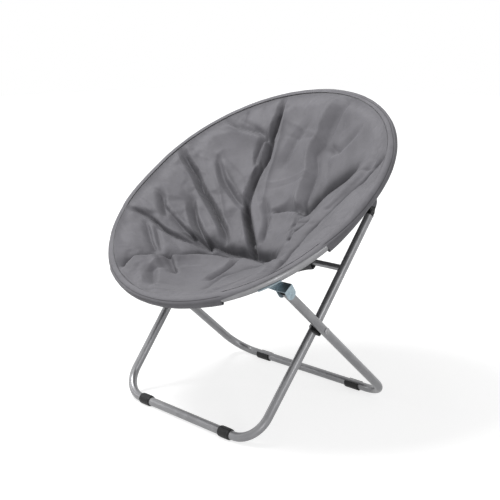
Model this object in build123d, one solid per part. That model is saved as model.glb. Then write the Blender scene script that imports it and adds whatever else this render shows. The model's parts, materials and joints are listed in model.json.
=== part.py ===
"""Folding saucer chair: a padded round seat on a tubular ring, carried by crossed U-shaped legs.

Millimetres, +Z up. The origin is on the floor under the centre of the seat ring. The chair faces -Y,
and +X is the sitter's left. A side plane is drawn in Y and Z; a leg or ring plane has X as its first
axis and runs up the leg or the ring as its second.
"""

import os
from math import asin, atan2, cos, degrees, hypot, radians, sin, tan

from build123d import *

# Stock
TUBE_R = 11.0  # legs and seat ring
TUBE_WALL = 1.4
BAR_R = 8.0  # cross bar and back struts
BAR_WALL = 1.2
PLATE = 2.0  # hinge bracket
SLEEVE_PLAY = 0.25  # fabric sleeve over its tube
SLEEVE_CLOTH = 2.2  # fabric sleeve wall
RUN_PLAY = 0.05  # radial play of a pin in a hole it turns in
BODY_GAP = 0.3  # between faces that move past each other
SNUG = 0.05  # an insert in its tube

# Legs
FOOT_LIFT = 2.5  # floor to the underside of a floor bar
FRONT_FOOT_Y = -223.7
REAR_FOOT_Y = 242.1
FRONT_LEAN = 50.5  # degrees up from +Y
REAR_LEAN = 138.1  # degrees up from +Y, so it leans forward
FRONT_LEG = 639.0  # floor bar to peg
REAR_LEG = 536.6  # floor bar to seat hinge
FRONT_HALF_FOOT = 241.0  # front leg tubes spread slightly from here
FRONT_HALF_TOP = 250.0  # to here at the scissor pivot, and then run parallel
REAR_HALF = 278.0
CORNER_R = 72.0
KNEE_R = 600.0
CAP_BELOW = 9.5  # tube's end to the peg, which its cap carries
REAR_TAIL = 8.0  # tube past the seat hinge
CROSS_BAR_UP = 476.0  # floor bar to cross bar, along the front leg
LOOP_HALF = 155.0  # fabric loop on the cross bar
LOOP_CLOTH = 2.4
LOOP_SAG = 3.4

# Seat ring
RING_Z = 558.7
RING_TILT = 34.6  # degrees, rising to the back
RING_R = 365.0  # centre line of each half hoop's bend
RING_ARM = 26.0  # straight arm of each half hoop
HOOP_CUT = 0.2  # between the two half hoops
BARE_FROM = 17.7  # degrees forward of the side where the bare tube starts
BARE_TO = 58.0  # and ends

# Pins and fasteners
SCISSOR_R = 4.0
HINGE_PIN_R = 3.0
SCREW_R = 2.0
FLUSH_R = 3.0  # head of a flush screw
FLUSH_SINK = 0.3
DOME = 2.6  # height of a rivet or bolt head
HEAD_R = 7.0
CAP_INSERT = 16.0
CAP_R = 11.4
CAP_COLLAR = 3.3
PEG_R = 5.5  # barrel that a strut shoe rests on
PEG_WIDTH = 14.0
PEG_FLANGE_R = 8.0
PEG_FLANGE = 1.4
NECK = 8.0
SHOE_PLATE = 10.4
SHOE_R = 10.0
SHOE_LIP = 2.0
COLLAR_R = 10.8
COLLAR_FROM = 12.5  # peg axis to the collar's closed end
COLLAR_LENGTH = 14.0
COLLAR_FLOOR = 2.0
STRUT_TOP_X = 240.0
LIFT_OFF = 63.0  # degrees up from +Y, the way a shoe leaves its peg

SADDLE_LENGTH = 30.0  # spacer on the front leg at the scissor pivot
SADDLE_LAP = 2.0  # from the leg's axis to where the spacer starts

# Hinge bracket
CHEEK_PLAY = 1.5  # leg tube to the inside of each cheek
CHEEK_R = 14.0
WEB_PLAY = 5.5  # leg tube to the inside of the web
WASHER_R = 7.0
SADDLE_FROM = 36.5  # degrees forward of the side
SADDLE_TO = 45.0

# Foot clips
CLIP_WALL = 3.2
CLIP_LENGTH = 44.0
CLIP_MOUTH = 110.0  # degrees open, upwards
FRONT_CLIP_X = 147.0
REAR_CLIP_X = 166.0

# Seat
DISH_GAP = 0.2  # dish to the cloth round the ring
DISH_DEPTH = 179.0
DISH_POWER = 2.3  # how steeply the side rises to the rim
DISH_BACK = 36.0  # the lowest point lies this far forward of the centre
DISH_EDGE = 10.0  # padding, measured across the rim
DISH_FLOOR = 14.0  # padding, measured under the sitter
DISH_SHARES = (1.0, 0.93, 0.84, 0.72, 0.58, 0.42, 0.26, 0.13)
PIPING_R = 1.8
# Each fold of the padded cloth: its ends in the ring's plan (across, up the ring), how far its middle
# stands aside, and the radius of its valley.
FOLDS = (
    ((-146, 235), (-8, -70), 34, 7.0),
    ((-250, 62), (-123, -52), -14, 6.5),
    ((-238, 128), (-130, -40), 10, 5.5),
    ((56, 262), (74, 72), -30, 7.0),
    ((168, 150), (66, -4), 12, 6.5),
    ((-230, -200), (96, -88), 40, 6.0),
    ((-240, -107), (-150, -128), 8, 5.0),
    ((-236, -9), (-125, -116), -10, 5.0),
    ((-24, 59), (60, 78), 8, 5.0),
)
FOLD_SINK = 2.0  # the fold's axis over the cloth

BAR_Z = TUBE_R + FOOT_LIFT
SLEEVE_R = TUBE_R + SLEEVE_PLAY + SLEEVE_CLOTH
DISH_R = RING_R - SLEEVE_R - DISH_GAP
CHEEK_GAP = TUBE_R + CHEEK_PLAY  # leg axis to the inside of each cheek
WEB_OVER = TUBE_R + WEB_PLAY  # hinge pin to the inside of the web


def side_point(y, z, angle, along, over=0.0):
    """A point of the side plane, along a line at an angle and over it."""
    a = radians(angle)
    return y + along * cos(a) - over * sin(a), z + along * sin(a) + over * cos(a)


def meeting(y0, z0, a0, y1, z1, a1):
    """Where two lines of the side plane cross."""
    t0, t1 = tan(radians(a0)), tan(radians(a1))
    y = (z1 - z0 + y0 * t0 - y1 * t1) / (t0 - t1)
    return y, z0 + (y - y0) * t0


def sloping(y, z, angle, x=0.0):
    """A plane that holds X and slopes at an angle: (across, along, over)."""
    a = radians(angle)
    return Plane(origin=(x, y, z), x_dir=(1, 0, 0), z_dir=(0, -sin(a), cos(a)))


def sideways(y, z, angle, x=0.0):
    """The side plane at X, turned to an angle: (along, over, across)."""
    a = radians(angle)
    return Plane(origin=(x, y, z), x_dir=(0, cos(a), sin(a)), z_dir=(1, 0, 0))


SCISSOR = meeting(FRONT_FOOT_Y, BAR_Z, FRONT_LEAN, REAR_FOOT_Y, BAR_Z, REAR_LEAN)
PEG = side_point(FRONT_FOOT_Y, BAR_Z, FRONT_LEAN, FRONT_LEG)
HINGE = side_point(REAR_FOOT_Y, BAR_Z, REAR_LEAN, REAR_LEG)
CROSS_BAR = side_point(FRONT_FOOT_Y, BAR_Z, FRONT_LEAN, CROSS_BAR_UP)
KNEE_UP = hypot(SCISSOR[0] - FRONT_FOOT_Y, SCISSOR[1] - BAR_Z)
FRONT = sloping(FRONT_FOOT_Y, BAR_Z, FRONT_LEAN)
REAR = sloping(REAR_FOOT_Y, BAR_Z, REAR_LEAN)
RING = sloping(0, RING_Z, RING_TILT)


def on_ring(y, z):
    """A point of the side plane as (up the ring, over it)."""
    a = radians(RING_TILT)
    return y * cos(a) + (z - RING_Z) * sin(a), -y * sin(a) + (z - RING_Z) * cos(a)


def rod_x(x0, x1, y, z, radius):
    """A round bar along X."""
    return Pos((x0 + x1) / 2, y, z) * Rot(0, 90, 0) * Cylinder(radius, abs(x1 - x0))


def dome(radius, height):
    """A shallow dome that stands on the origin, up Z."""
    ball = (radius**2 + height**2) / (2 * height)
    half = asin(radius / ball) / 2
    middle = (ball * sin(half), height - ball + ball * cos(half))
    outline = [Line((0, 0), (radius, 0)), ThreePointArc((radius, 0), middle, (0, height)), Line((0, height), (0, 0))]
    return revolve(Plane.XZ * make_face([e.edge() for e in outline]), axis=Axis.Z)


def dome_x(x, y, z, radius, height, way):
    """A rivet head along X: flat at x, domed on the side that way points to."""
    return Pos(x, y, z) * Rot(0, 90 * way, 0) * dome(radius, height)


def pair(shape):
    """The piece and its mirror image on the other side of the chair."""
    return Compound([shape, mirror(shape, about=Plane.YZ)])


def swept(section, path):
    """A section swept from the start of a path, square to it."""
    start = Plane(origin=path @ 0, z_dir=path % 0)
    return sweep(start * section, path=path)


def pipe(radius, wall):
    return Circle(radius) - Circle(radius - wall)


# Front legs ---------------------------------------------------------------------------------------


def front_leg_path():
    top = FRONT_LEG - CAP_BELOW
    right = [(FRONT_HALF_TOP, top), (FRONT_HALF_TOP, KNEE_UP), (FRONT_HALF_FOOT, 0)]
    left = [(-x, along) for x, along in reversed(right)]
    return FRONT * FilletPolyline(*right, *left, radius=[KNEE_R, CORNER_R, CORNER_R, KNEE_R])


def front_leg_tube():
    tube = swept(pipe(TUBE_R, TUBE_WALL), front_leg_path())
    reach = FRONT_HALF_TOP + 2 * TUBE_R
    return tube - rod_x(-reach, reach, *SCISSOR, SCISSOR_R)


def cross_bar():
    bar = Rot(0, 90, 0) * (Cylinder(BAR_R, 2 * FRONT_HALF_TOP) - Cylinder(BAR_R - BAR_WALL, 2 * FRONT_HALF_TOP))
    bar = Pos(0, *CROSS_BAR) * bar
    for side in (-1, 1):
        leg = FRONT * Pos(side * FRONT_HALF_TOP, CROSS_BAR_UP, 0) * Rot(90, 0, 0) * Cylinder(TUBE_R, 6 * TUBE_R)
        bar -= leg
    middle = [s for s in bar.solids() if abs(s.center().X) < 1]
    return middle[0]


def cross_bar_loop():
    """A loop of cloth that hangs on the cross bar under the seat."""
    inner = BAR_R + LOOP_SAG
    y, z = CROSS_BAR
    loop = rod_x(-LOOP_HALF, LOOP_HALF, y, z - LOOP_SAG + SNUG, inner + LOOP_CLOTH)
    return loop - rod_x(-LOOP_HALF, LOOP_HALF, y, z - LOOP_SAG + SNUG, inner)


def scissor_rivet():
    inside = FRONT_HALF_TOP - TUBE_R - BODY_GAP
    outside = REAR_HALF + TUBE_R + BODY_GAP + PLATE / 2
    rivet = rod_x(inside, outside, *SCISSOR, SCISSOR_R - RUN_PLAY)
    rivet += dome_x(inside, *SCISSOR, HEAD_R, DOME, -1)
    return rivet + dome_x(outside, *SCISSOR, HEAD_R, DOME, 1)


def scissor_washer():
    x = REAR_HALF + TUBE_R + BODY_GAP
    return rod_x(x, x + PLATE / 2, *SCISSOR, HEAD_R + 1) - rod_x(x, x + PLATE / 2, *SCISSOR, SCISSOR_R)


def saddle_spacer():
    """A moulded saddle on the front leg that keeps the rear leg off it at the scissor pivot."""
    face = REAR_HALF - TUBE_R - BODY_GAP
    back = FRONT_HALF_TOP + SADDLE_LAP
    block = sideways(*SCISSOR, FRONT_LEAN, back) * extrude(
        RectangleRounded(SADDLE_LENGTH, 2 * TUBE_R + 4, 4), face - back)
    block -= FRONT * Pos(FRONT_HALF_TOP, KNEE_UP, 0) * Rot(90, 0, 0) * Cylinder(
        TUBE_R + 2 * SNUG, 2 * SADDLE_LENGTH)
    block -= rod_x(back - 1, face + 1, *SCISSOR, SCISSOR_R + RUN_PLAY)
    return max(block.solids(), key=lambda s: s.volume)


def tube_plug(bore, cap_r, insert, cap):
    """A domed end plug, its flange at the origin and its insert along -Z."""
    return dome(cap_r, cap) + Pos(0, 0, -insert / 2) * Cylinder(bore - SNUG, insert)


def leg_plug(plane, across, along):
    spot = plane * Pos(across, along, 0) * Rot(-90, 0, 0)
    return spot * tube_plug(TUBE_R - TUBE_WALL, TUBE_R, 4.5, 3.0)


def leg_cap():
    """The moulded cap in the front leg's top, with the flanged barrel that a strut's shoe sits on."""
    low = Align.CENTER, Align.CENTER, Align.MIN
    high = Align.CENTER, Align.CENTER, Align.MAX
    cap = Pos(0, 0, -CAP_BELOW) * Cylinder(TUBE_R - TUBE_WALL - SNUG, CAP_INSERT, align=high)
    cap += Pos(0, 0, -CAP_BELOW) * Cylinder(CAP_R, CAP_COLLAR, align=low)
    cap += Box(PEG_WIDTH, NECK, CAP_BELOW - SNUG, align=high)
    cap += Rot(0, 90, 0) * Cylinder(PEG_R, PEG_WIDTH)
    for side in (-1, 1):
        cap += Pos(side * (PEG_WIDTH - PEG_FLANGE) / 2, 0, 0) * Rot(0, 90, 0) * Cylinder(PEG_FLANGE_R, PEG_FLANGE)
    return FRONT * Pos(FRONT_HALF_TOP, FRONT_LEG, 0) * Rot(-90, 0, 0) * cap


def foot_clip(x, y):
    """A moulded clip snapped on a floor bar from below, with a flat tread."""
    outer = TUBE_R + CLIP_WALL
    ring = Circle(outer) - Circle(TUBE_R + SNUG)
    ring &= Pos(0, outer - BAR_Z) * Rectangle(2 * outer, 2 * outer)
    half = radians(CLIP_MOUTH / 2)
    reach = 2 * outer
    ring -= make_face(Polyline((0, 0), (reach * sin(half), reach * cos(half)),
                               (-reach * sin(half), reach * cos(half)), close=True))
    clip = sideways(y, BAR_Z, 0, x - CLIP_LENGTH / 2) * extrude(ring, CLIP_LENGTH)
    return clip.solids()[0]


# Rear legs ----------------------------------------------------------------------------------------


def rear_leg_tube():
    top = REAR_LEG + REAR_TAIL
    points = [(REAR_HALF, top), (REAR_HALF, 0), (-REAR_HALF, 0), (-REAR_HALF, top)]
    tube = swept(pipe(TUBE_R, TUBE_WALL), REAR * FilletPolyline(*points, radius=CORNER_R))
    reach = REAR_HALF + 2 * TUBE_R
    tube -= rod_x(-reach, reach, *SCISSOR, SCISSOR_R)
    return tube - rod_x(-reach, reach, *HINGE, HINGE_PIN_R + RUN_PLAY)


# Seat ring ----------------------------------------------------------------------------------------


def hoop_path(side, gap=HOOP_CUT / 2):
    """Half of the ring: side is 1 at the back and -1 at the front."""
    arc = CenterArc((0, side * RING_ARM), RING_R, 0 if side > 0 else 180, 180)
    right = Line((RING_R, side * gap), (RING_R, side * RING_ARM))
    left = Line((-RING_R, side * gap), (-RING_R, side * RING_ARM))
    return RING * Wire([right.edge(), arc.edge(), left.edge()])


def ring_core(radius=TUBE_R):
    """Both half hoops as one solid bar, to cope other pieces to."""
    return swept(Circle(radius), hoop_path(1, 0)) + swept(Circle(radius), hoop_path(-1, 0))


def ring_x(x, side):
    """How far up the ring its centre line is at X."""
    return side * (RING_ARM + (RING_R**2 - x**2) ** 0.5)


def hoop(side):
    tube = swept(pipe(TUBE_R, TUBE_WALL), hoop_path(side))
    for x in (-RING_R, RING_R):
        hole = RING * Pos(x, side * RING_ARM / 2, -TUBE_R)
        tube -= hole * Cylinder(FLUSH_R + SNUG, 4 * TUBE_WALL)
    if side < 0:
        for place in saddle_screw_places():
            tube -= place * Cylinder(SCREW_R, 3 * TUBE_R, align=(Align.CENTER, Align.CENTER, Align.MAX))
    return tube


def hoop_spigot():
    """The inner sleeve that joins the two half hoops at the side."""
    bore = TUBE_R - TUBE_WALL
    core = Cylinder(bore - SNUG, 2 * RING_ARM - 4) - Cylinder(bore - SNUG - TUBE_WALL, 2 * RING_ARM - 4)
    core = RING * Pos(RING_R, 0, 0) * Rot(90, 0, 0) * core
    for side in (-1, 1):
        core -= RING * Pos(RING_R, side * RING_ARM / 2, -TUBE_R) * Cylinder(SCREW_R, 2 * TUBE_R)
    return core.solids()[0]


def hoop_screw(side):
    """A flush screw through a hoop's underside into the spigot."""
    spot = RING * Pos(RING_R, side * RING_ARM / 2, -TUBE_R)
    up = (Align.CENTER, Align.CENTER, Align.MIN)
    head = Pos(0, 0, FLUSH_SINK) * Cylinder(FLUSH_R, TUBE_WALL - FLUSH_SINK - SNUG, align=up)
    shank = Pos(0, 0, TUBE_WALL / 2) * Cylinder(SCREW_R, 3 * TUBE_WALL, align=up)
    return spot * (head + shank)


# Hinge bracket ------------------------------------------------------------------------------------


def saddle_screw_places():
    """Where the bracket's screws enter the ring: on its underside, pointing down."""
    places = []
    for angle in (38.5, 41.3):
        a = radians(-angle)
        for mirrored in (1, -1):
            x, up = mirrored * RING_R * cos(a), -RING_ARM + RING_R * sin(a)
            places.append(RING * Pos(x, up, -TUBE_R / 2))
    return places


def bracket_screw(place):
    head_from = -(TUBE_R / 2 + PLATE)
    shank = Cylinder(SCREW_R, TUBE_R / 2 + PLATE, align=(Align.CENTER, Align.CENTER, Align.MAX))
    return place * (shank + Pos(0, 0, head_from) * Rot(180, 0, 0) * dome(2 * SCREW_R, SCREW_R))


def hinge_bracket():
    """A galvanised channel over the rear leg's end, its inner cheek rising to a saddle on the ring."""
    up, over = on_ring(*HINGE)
    inner, outer = REAR_HALF - CHEEK_GAP, REAR_HALF + CHEEK_GAP
    web_top = over + WEB_OVER + PLATE
    lug = Pos(up, over) * Circle(CHEEK_R)
    lug += Pos(up, (over + web_top) / 2) * Rectangle(2 * CHEEK_R, web_top - over)
    at_ring = ring_x(inner, -1)
    riser = make_face(Polyline(
        (at_ring + 1, -TUBE_R / 2), (at_ring + 16, -TUBE_R / 2), (up + CHEEK_R, web_top),
        (up - CHEEK_R, web_top - PLATE), close=True))
    side = sideways(0, RING_Z, RING_TILT)
    tall = extrude(Plane.XY * (lug + riser), PLATE)
    bracket = side * Pos(0, 0, inner - PLATE) * tall
    bracket += side * Pos(0, 0, outer) * extrude(lug, PLATE)
    web = Box(outer - inner + 2 * PLATE, 2 * CHEEK_R, PLATE)
    bracket += RING * Pos(REAR_HALF, up, web_top - PLATE / 2) * web
    arc = CenterArc((0, -RING_ARM), RING_R, -SADDLE_TO, SADDLE_TO - SADDLE_FROM)
    saddle = swept(pipe(TUBE_R + PLATE, PLATE), RING * Wire([arc.edge()]))
    below = RING * Pos(REAR_HALF, up, -50 - TUBE_R * 0.25) * Box(200, 200, 100)
    bracket += saddle & below
    bracket -= ring_core()
    bracket -= rod_x(inner - 10, outer + 10, *HINGE, HINGE_PIN_R)
    for place in saddle_screw_places():
        bracket -= place * Cylinder(SCREW_R, 2 * TUBE_R, align=(Align.CENTER, Align.CENTER, Align.MAX))
    return max(bracket.solids(), key=lambda s: s.volume)


def bracket_pin():
    inner, outer = REAR_HALF - CHEEK_GAP - PLATE, REAR_HALF + CHEEK_GAP + PLATE
    pin = rod_x(inner, outer, *HINGE, HINGE_PIN_R)
    return pin + dome_x(inner, *HINGE, 5.5, 1.6, -1) + dome_x(outer, *HINGE, 5.5, 2.2, 1)


def bracket_washer(side):
    near, far = REAR_HALF + side * (TUBE_R + 0.1), REAR_HALF + side * CHEEK_GAP
    return rod_x(near, far, *HINGE, WASHER_R) - rod_x(near, far, *HINGE, HINGE_PIN_R)


# Back struts --------------------------------------------------------------------------------------


def strut_ends():
    """The axis of a back strut, from over the peg to the ring's centre line."""
    foot = Vector(FRONT_HALF_TOP, *PEG)
    head = RING.from_local_coords(Vector(STRUT_TOP_X, ring_x(STRUT_TOP_X, 1), 0))
    return foot, head


def strut_rod(radius, start, stop=None):
    """A round bar on the strut's axis, from one distance over the peg to another."""
    foot, head = strut_ends()
    way = (head - foot).normalized()
    length = (head - foot).length if stop is None else stop
    spot = Plane(origin=foot + way * start, z_dir=way)
    return spot * Cylinder(radius, length - start, align=(Align.CENTER, Align.CENTER, Align.MIN))


def back_strut():
    foot_at = COLLAR_FROM + COLLAR_FLOOR
    strut = strut_rod(BAR_R, foot_at) - strut_rod(BAR_R - BAR_WALL, foot_at) - ring_core()
    return max(strut.solids(), key=lambda s: s.volume)


def strut_shoe():
    """A moulded foot on the strut: a half-round saddle that sits on the peg and lifts off it."""
    foot, head = strut_ends()
    rise = degrees(atan2(head.Z - foot.Z, head.Y - foot.Y))
    bore = PEG_R + BODY_GAP
    plate = Circle(SHOE_R) + Pos(COLLAR_FROM / 2, 0) * Rectangle(COLLAR_FROM + 4, 2 * SHOE_R)
    turn = LIFT_OFF - rise
    mouth = Pos(-SHOE_R, 0) * Rectangle(2 * SHOE_R, 2 * bore)
    beyond = Pos(-SHOE_LIP - SHOE_R, 0) * Rectangle(2 * SHOE_R, 4 * SHOE_R)
    plate -= Circle(bore) + Rot(0, 0, turn) * mouth + Rot(0, 0, turn) * beyond
    spot = sideways(*PEG, rise, foot.X - SHOE_PLATE / 2)
    shoe = spot * extrude(plate, SHOE_PLATE)
    shoe += strut_rod(COLLAR_R, COLLAR_FROM, COLLAR_FROM + COLLAR_LENGTH)
    shoe -= strut_rod(BAR_R, COLLAR_FROM + COLLAR_FLOOR)
    return max(shoe.solids(), key=lambda s: s.volume)


def strut_sleeve():
    start = COLLAR_FROM + COLLAR_LENGTH + BODY_GAP
    foot, head = strut_ends()
    stop = (head - foot).length - 2 * SLEEVE_R
    inner = BAR_R + SLEEVE_PLAY
    return strut_rod(inner + SLEEVE_CLOTH / 2, start, stop) - strut_rod(inner, start, stop)


# Seat ---------------------------------------------------------------------------------------------


def rim_sleeve(side):
    """The padded channel of cloth that the ring runs through, at the front or round the back."""
    if side < 0:
        arc = CenterArc((0, -RING_ARM), RING_R, 180 + BARE_TO, 180 - 2 * BARE_TO)
        edges = [arc.edge()]
    else:
        edges = [
            CenterArc((0, -RING_ARM), RING_R, -BARE_FROM, BARE_FROM).edge(),
            Line((RING_R, -RING_ARM), (RING_R, RING_ARM)).edge(),
            CenterArc((0, RING_ARM), RING_R, 0, 180).edge(),
            Line((-RING_R, RING_ARM), (-RING_R, -RING_ARM)).edge(),
            CenterArc((0, -RING_ARM), RING_R, 180, BARE_FROM).edge(),
        ]
    sleeve = swept(pipe(SLEEVE_R, SLEEVE_CLOTH), RING * Wire(edges))
    if side > 0:
        notch = strut_rod(BAR_R + BODY_GAP, 200)
        sleeve -= notch
        sleeve -= mirror(notch, about=Plane.YZ)
    return max(sleeve.solids(), key=lambda s: s.volume)


def oval(radius, arm, shift):
    """A face like the ring's own outline: two bends and two straight arms."""
    edges = [
        CenterArc((0, shift + arm), radius, 0, 90),
        CenterArc((0, shift + arm), radius, 90, 90),
        Line((-radius, shift + arm), (-radius, shift - arm)),
        CenterArc((0, shift - arm), radius, 180, 90),
        CenterArc((0, shift - arm), radius, 270, 90),
        Line((radius, shift - arm), (radius, shift + arm)),
    ]
    return make_face([e.edge() for e in edges])


def dish(radius, depth):
    """A solid bowl that hangs from the ring's plane."""
    faces = []
    for share in DISH_SHARES:
        n = -depth * (1 - share**DISH_POWER)
        faces.append(RING * Pos(0, 0, n) * oval(radius * share, RING_ARM * share, -DISH_BACK * (1 - share)))
    return loft(faces)


def dish_at(x, up):
    """Height of the seat's upper face, over the ring's plane."""
    radius, depth = DISH_R - DISH_EDGE, DISH_DEPTH - DISH_FLOOR
    low, high = 0.0, 1.0
    for _ in range(40):
        share = (low + high) / 2
        off = abs(up + DISH_BACK * (1 - share)) - RING_ARM * share
        if hypot(x, max(off, 0)) > radius * share:
            low = share
        else:
            high = share
    return -depth * (1 - share**DISH_POWER)


def fold(start, end, bulge, radius):
    """The valley of one fold, as a round bar along an arc that follows the cloth."""
    (x0, u0), (x1, u1) = start, end
    length = hypot(x1 - x0, u1 - u0)
    xm = (x0 + x1) / 2 - bulge * (u1 - u0) / length
    um = (u0 + u1) / 2 + bulge * (x1 - x0) / length
    points = [Vector(x, u, dish_at(x, u) + FOLD_SINK) for x, u in ((x0, u0), (xm, um), (x1, u1))]
    path = RING * Wire([ThreePointArc(*points).edge()])
    return swept(Circle(radius), path)


def seat_bowl():
    """The padded cloth dish with its main folds."""
    bowl = dish(DISH_R, DISH_DEPTH)
    hollow = dish(DISH_R - DISH_EDGE, DISH_DEPTH - DISH_FLOOR)
    bowl -= hollow
    for start, end, bulge, radius in FOLDS:
        bowl -= fold(start, end, bulge, radius)
    return max(bowl.solids(), key=lambda s: s.volume)


def rim_piping():
    """The bound edge of the cloth along the bare tube."""
    arc = CenterArc((0, -RING_ARM), DISH_R - PIPING_R - 1, -BARE_TO, BARE_TO - BARE_FROM)
    path = RING * Pos(0, 0, PIPING_R + SNUG) * Wire([arc.edge()])
    return swept(Circle(PIPING_R), path)


def main():
    os.makedirs("parts", exist_ok=True)
    bracket = hinge_bracket()
    strut = back_strut()
    rear_top = REAR_LEG + REAR_TAIL
    parts = {
        "front_leg_tube": front_leg_tube(),
        "cross_bar": cross_bar(),
        "cross_bar_loop": cross_bar_loop(),
        "scissor_rivets": pair(scissor_rivet()),
        "scissor_washers": pair(scissor_washer()),
        "saddle_spacers": pair(saddle_spacer()),
        "leg_top_caps": pair(leg_cap()),
        "front_foot_clips": pair(foot_clip(FRONT_CLIP_X, FRONT_FOOT_Y)),
        "rear_leg_tube": rear_leg_tube(),
        "rear_leg_plugs": pair(leg_plug(REAR, REAR_HALF, rear_top)),
        "rear_foot_clips": pair(foot_clip(REAR_CLIP_X, REAR_FOOT_Y)),
        "hinge_bracket_left": bracket,
        "hinge_bracket_right": mirror(bracket, about=Plane.YZ),
        "bracket_screws": Compound([bracket_screw(place) for place in saddle_screw_places()]),
        "bracket_pins": pair(bracket_pin()),
        "bracket_washers": Compound([pair(bracket_washer(-1)), pair(bracket_washer(1))]),
        "front_hoop": hoop(-1),
        "back_hoop": hoop(1),
        "hoop_spigots": pair(hoop_spigot()),
        "hoop_screws": Compound([pair(hoop_screw(-1)), pair(hoop_screw(1))]),
        "back_strut_left": strut,
        "back_strut_right": mirror(strut, about=Plane.YZ),
        "strut_shoes": pair(strut_shoe()),
        "strut_sleeves": pair(strut_sleeve()),
        "front_rim_sleeve": rim_sleeve(-1),
        "back_rim_sleeve": rim_sleeve(1),
        "rim_piping": pair(rim_piping()),
        "seat_bowl": seat_bowl(),
    }
    for name, shape in parts.items():
        export_step(shape, f"parts/{name}.step")
    print("scissor", SCISSOR, "peg", PEG, "hinge", HINGE, "cross bar", CROSS_BAR)


main()
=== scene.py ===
"""Folding saucer chair: the frame's finish, the padded cloth seat and the plain studio round it.

Lengths are in millimetres, unless a line says otherwise. "x", "up" and "over" are the seat ring's
own axes: to one side, up the tilted ring, and out of its plane.
"""

import json
import math

import bmesh
import bpy
import numpy as np
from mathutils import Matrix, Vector, noise


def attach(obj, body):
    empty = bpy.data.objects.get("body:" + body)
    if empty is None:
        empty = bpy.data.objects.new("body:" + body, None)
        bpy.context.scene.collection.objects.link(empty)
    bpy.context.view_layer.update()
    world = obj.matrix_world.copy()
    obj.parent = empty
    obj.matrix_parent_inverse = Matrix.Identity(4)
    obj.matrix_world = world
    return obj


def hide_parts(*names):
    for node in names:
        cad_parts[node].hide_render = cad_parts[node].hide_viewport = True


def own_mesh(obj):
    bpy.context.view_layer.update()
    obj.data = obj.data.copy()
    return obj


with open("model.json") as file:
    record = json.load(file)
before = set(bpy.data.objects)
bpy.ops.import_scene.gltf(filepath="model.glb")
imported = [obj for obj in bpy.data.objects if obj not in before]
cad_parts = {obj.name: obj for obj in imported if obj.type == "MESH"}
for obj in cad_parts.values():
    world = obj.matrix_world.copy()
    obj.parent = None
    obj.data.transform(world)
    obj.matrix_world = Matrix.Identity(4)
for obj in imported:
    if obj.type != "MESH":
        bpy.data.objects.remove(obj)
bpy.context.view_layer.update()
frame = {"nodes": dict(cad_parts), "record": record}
nodes = frame["nodes"]

MM = 0.001

# The seat ring, as the frame has it
RING_Z = 558.7
RING_TILT = math.radians(34.6)
RING_R = 365.0  # centre line of each half hoop's bend
RING_ARM = 26.0  # straight arm of each half hoop
BARE_FROM = 17.7  # degrees forward of the side where the bare tube starts
BARE_TO = 58.0  # and ends
BARE_EASE = (0.8, 1.2)  # covered side and bare side of each end
UP_RING = Vector((0, math.cos(RING_TILT), math.sin(RING_TILT)))
OVER_RING = Vector((0, -math.sin(RING_TILT), math.cos(RING_TILT)))

# The padded dish
DISH_BACK = 36.0  # its lowest point lies this far forward of its centre
PAD_R = 358.4  # its edge goes under the edge of the cloth round the tube
PAD_OVER = 11.4  # its edge over the ring's plane
PAD_DEPTH = 178.0
PAD_SWELL = 8.0
PAD_THIN = 4.0  # where a fold comes down to the underside
PAD_TURNED = 1.25  # its edge stands higher where the cloth is turned on the tube
DISH_FULL = 2.1  # how full the dish is towards its rim: 1 is straight
DISH_STRAIGHTER = 0.7  # on the near side, where it is pulled straighter
STRAIGHT_AT = -5.0  # in degrees round the ring
STRAIGHT_SPREAD = 55.0
RIM_SHARE = 0.07  # the outermost share of the dish, where the folds fade
RIM_KEEP = 0.15  # and what is left of them at its edge
PAD_GRID = 64  # squares from its middle to its edge
UNDER_OVER = -10.0
UNDER_DEPTH = 170.0
UNDER_SINK = 13.0  # how much lower it hangs under a full fold
UNDER_SLITS_IN = (0.02, 0.15)  # shares in from its edge, where the slits begin to move it
UNDER_SHARE = 0.985  # the underside's size to the upper cloth's
HUG_R = 12.6  # the strip against the tube, from the tube's centre
HUG_TURNS = (150, 180, 208)
PIN_FOLD = (0.25, 0.9)  # depths in a fold between which its pins take hold
PIN_FOLD_MOST = 0.9
PIN_RIM = (0.955, 0.985)  # and shares of the dish
UPPER_FACING = (-0.1, 0.15)  # how far the upper cloth faces out of the ring
CREASES_IN = (2.0, 16.0)  # from the dish's edge, where the creases begin
# How far in from the dish's edge the painted shade along its seam reaches
SEAM_SHADE_REACH = 2.5
SHADE = 0.8  # how dark the painted shade of the folds and the seam is, to that of the slits

# The cloth round the tube: a turn of 0 degrees is outwards, 90 over the ring and 180 inwards
RIM_STATIONS = 512
COVER_FIRST = 121.0
COVER_POINTS = 34
COVER_SIDES = (14.3, 12.8)  # its outer and inner side, from the tube's centre
COVER_CLOSER = (1.5, 1.4)  # where the tube below is bare
COVER_INSET = 0.01  # its inner side stops short by this share
COVER_SEED = 3.1
SEAM_DEPTH = 0.9
SEAM_TURN = 4.0
SEAM_FROM_EDGE = 24.0  # at least, from the cover's edge
SLEEVE_GAP = 16.0  # from the cover's edge to the sleeve under it
SLEEVE_LAST = -142.0
SLEEVE_POINTS = 16
SLEEVE_SIDES = (12.9, 11.5)
SLEEVE_SEED = 7.7
SAG = 1.2
SAG_AT_CUT = 3.4  # more where a sleeve is cut off
SAG_TURN = -62.0
SAG_SPREAD = 34.0
CUT_REACH = 9.0  # degrees along the ring
UNEVEN = (0.5, 0.2)  # the cloth's outer and inner side
UNEVEN_LENGTH = 23.0
UNEVEN_TURN = 40.0
RIM_CLOTHS = {  # each one's length in metres, and the node that it stands for
    "rim_cover": (2.40, "rim_piping"),
    "front_rim_cloth": (0.41, "front_rim_sleeve"),
    "back_rim_cloth": (1.50, "back_rim_sleeve"),
}

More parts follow.
